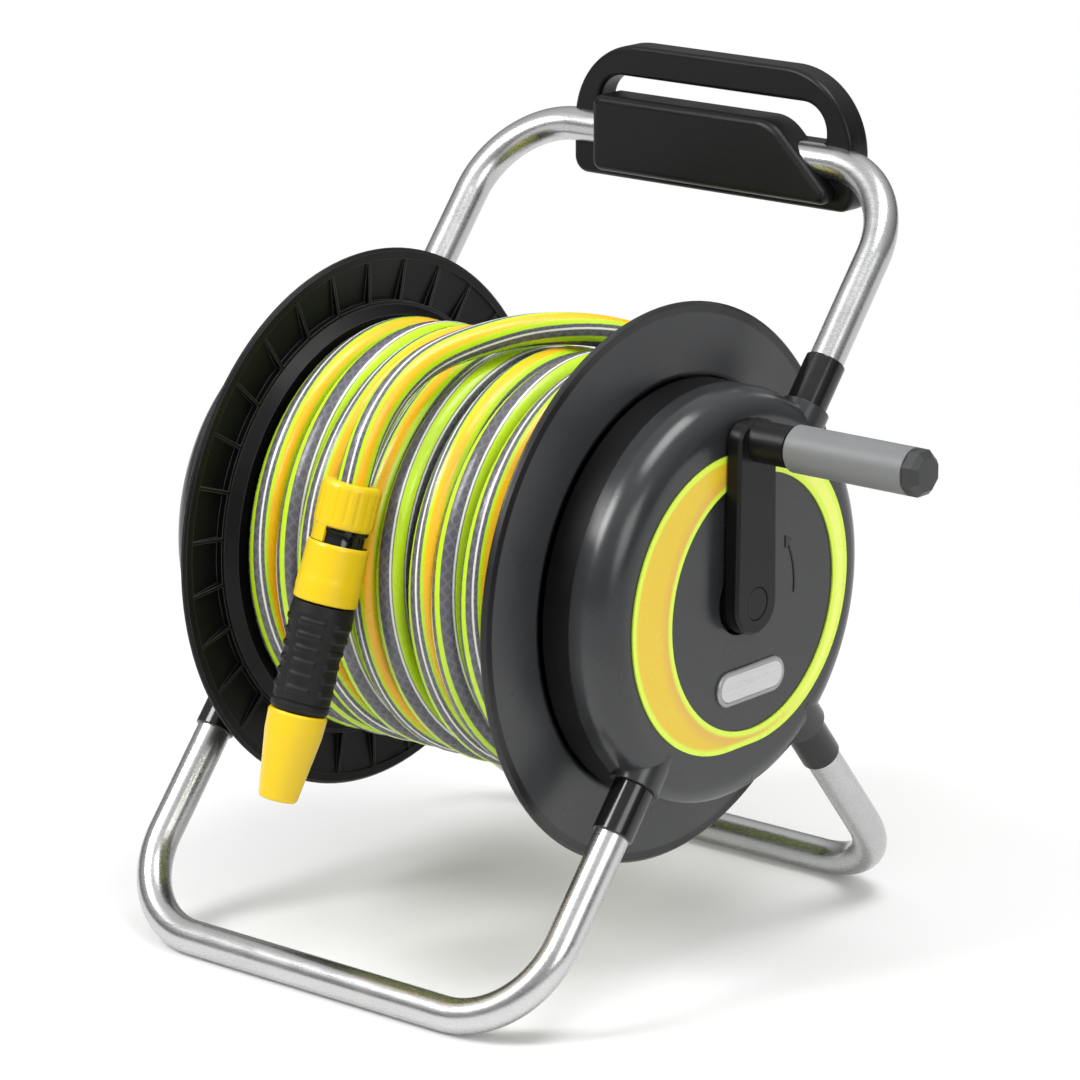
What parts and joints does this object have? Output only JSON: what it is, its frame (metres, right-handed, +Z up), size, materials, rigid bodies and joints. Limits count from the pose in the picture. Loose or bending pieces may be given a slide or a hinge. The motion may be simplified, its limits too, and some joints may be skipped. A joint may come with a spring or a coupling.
{
  "type": "garden hose reel",
  "caption": "Free-standing garden hose reel: bent tube frame with carry handle, hand-cranked drum wound with striped hose, quick connector and spray nozzle.",
  "frame": {"origin": "on the ground under the middle of the reel's box, hose and nozzle left out of the box", "axes": "+Z up, +Y along the drum's axle with the crank at its -Y end, -X is the side where the nozzle hangs"},
  "size_m": [0.3536, 0.4494, 0.4548],
  "materials": {
    "galvanised_tube": "bright zinc-coated steel tube",
    "black_plastic": "black moulded plastic",
    "anthracite_plastic": "anthracite moulded plastic",
    "yellow_plastic": "yellow moulded plastic",
    "silver_plastic": "silver lacquered plastic",
    "grey_plastic": "grey moulded plastic",
    "hose_vinyl": "grey hose with coloured stripes",
    "steel_fastener": "zinc-plated steel",
    "bush_plastic": "natural acetal",
    "seal_rubber": "black seal rubber"
  },
  "bodies": {
    "frame": {"badge": "silver_plastic", "crescent_trim": "yellow_plastic", "front_bush": "bush_plastic", "front_cover": "anthracite_plastic", "front_cover_screws": "steel_fastener", "front_handle_sleeve": "black_plastic", "front_hub": "black_plastic", "front_left_sleeve": "black_plastic", "front_right_sleeve": "black_plastic", "front_tube_screws": "steel_fastener", "handle_front_shell": "black_plastic", "handle_rear_shell": "black_plastic", "handle_screws": "steel_fastener", "handle_tube": "galvanised_tube", "inlet_elbow": "black_plastic", "inlet_nipple": "black_plastic", "inlet_screws": "steel_fastener", "inlet_seals": "seal_rubber", "left_foot_tube": "galvanised_tube", "rear_bush": "bush_plastic", "rear_cover": "anthracite_plastic", "rear_cover_screws": "steel_fastener", "rear_handle_sleeve": "black_plastic", "rear_hub": "black_plastic", "rear_left_sleeve": "black_plastic", "rear_right_sleeve": "black_plastic", "rear_tube_screws": "steel_fastener", "right_foot_tube": "galvanised_tube"},
    "drum": {"connector_body": "grey_plastic", "connector_nut": "yellow_plastic", "crank_arm": "black_plastic", "crank_cap": "black_plastic", "crank_screw": "steel_fastener", "crank_shaft": "black_plastic", "drum_bolts": "steel_fastener", "drum_core": "black_plastic", "drum_nuts": "steel_fastener", "front_flange": "anthracite_plastic", "front_shaft_screws": "steel_fastener", "grip_spindle": "steel_fastener", "hose_coil": "hose_vinyl", "hose_lead": "hose_vinyl", "inlet_shaft": "black_plastic", "outlet_elbow": "black_plastic", "rear_flange": "black_plastic", "rear_shaft_screws": "steel_fastener"},
    "crank_grip": {"crank_grip": "grey_plastic", "grip_cap": "black_plastic"},
    "connector_collar": {"connector_collar": "yellow_plastic"},
    "nozzle": {"nozzle_body": "black_plastic", "nozzle_seals": "seal_rubber"},
    "nozzle_tip": {"nozzle_tip": "yellow_plastic"}
  },
  "joints": [
    {"name": "drum_spin", "type": "hinge", "parent": "frame", "child": "drum", "pos_m": [-0.0025, 0.04625, 0.2068], "axis": [0, 1, 0], "continuous": true},
    {"name": "grip_spin", "type": "hinge", "parent": "drum", "child": "crank_grip", "pos_m": [-0.0025, -0.17375, 0.2938], "axis": [0, 1, 0], "continuous": true},
    {"name": "collar_slide", "type": "slide", "parent": "drum", "child": "connector_collar", "axis": [-0.2792, 0.0753, -0.9573], "range_m": [-0.004, 0], "stiffness_N_per_m": 400, "springref_m": 0.002},
    {"name": "nozzle_swivel", "type": "hinge", "parent": "drum", "child": "nozzle", "pos_m": [-0.1235, 0.05555, 0.2608], "axis": [-0.2792, 0.0753, -0.9573], "continuous": true},
    {"name": "tip_twist", "type": "hinge", "parent": "nozzle", "child": "nozzle_tip", "pos_m": [-0.1235, 0.05555, 0.2608], "axis": [-0.2792, 0.0753, -0.9573], "range_deg": [0, 270]}
  ]
}
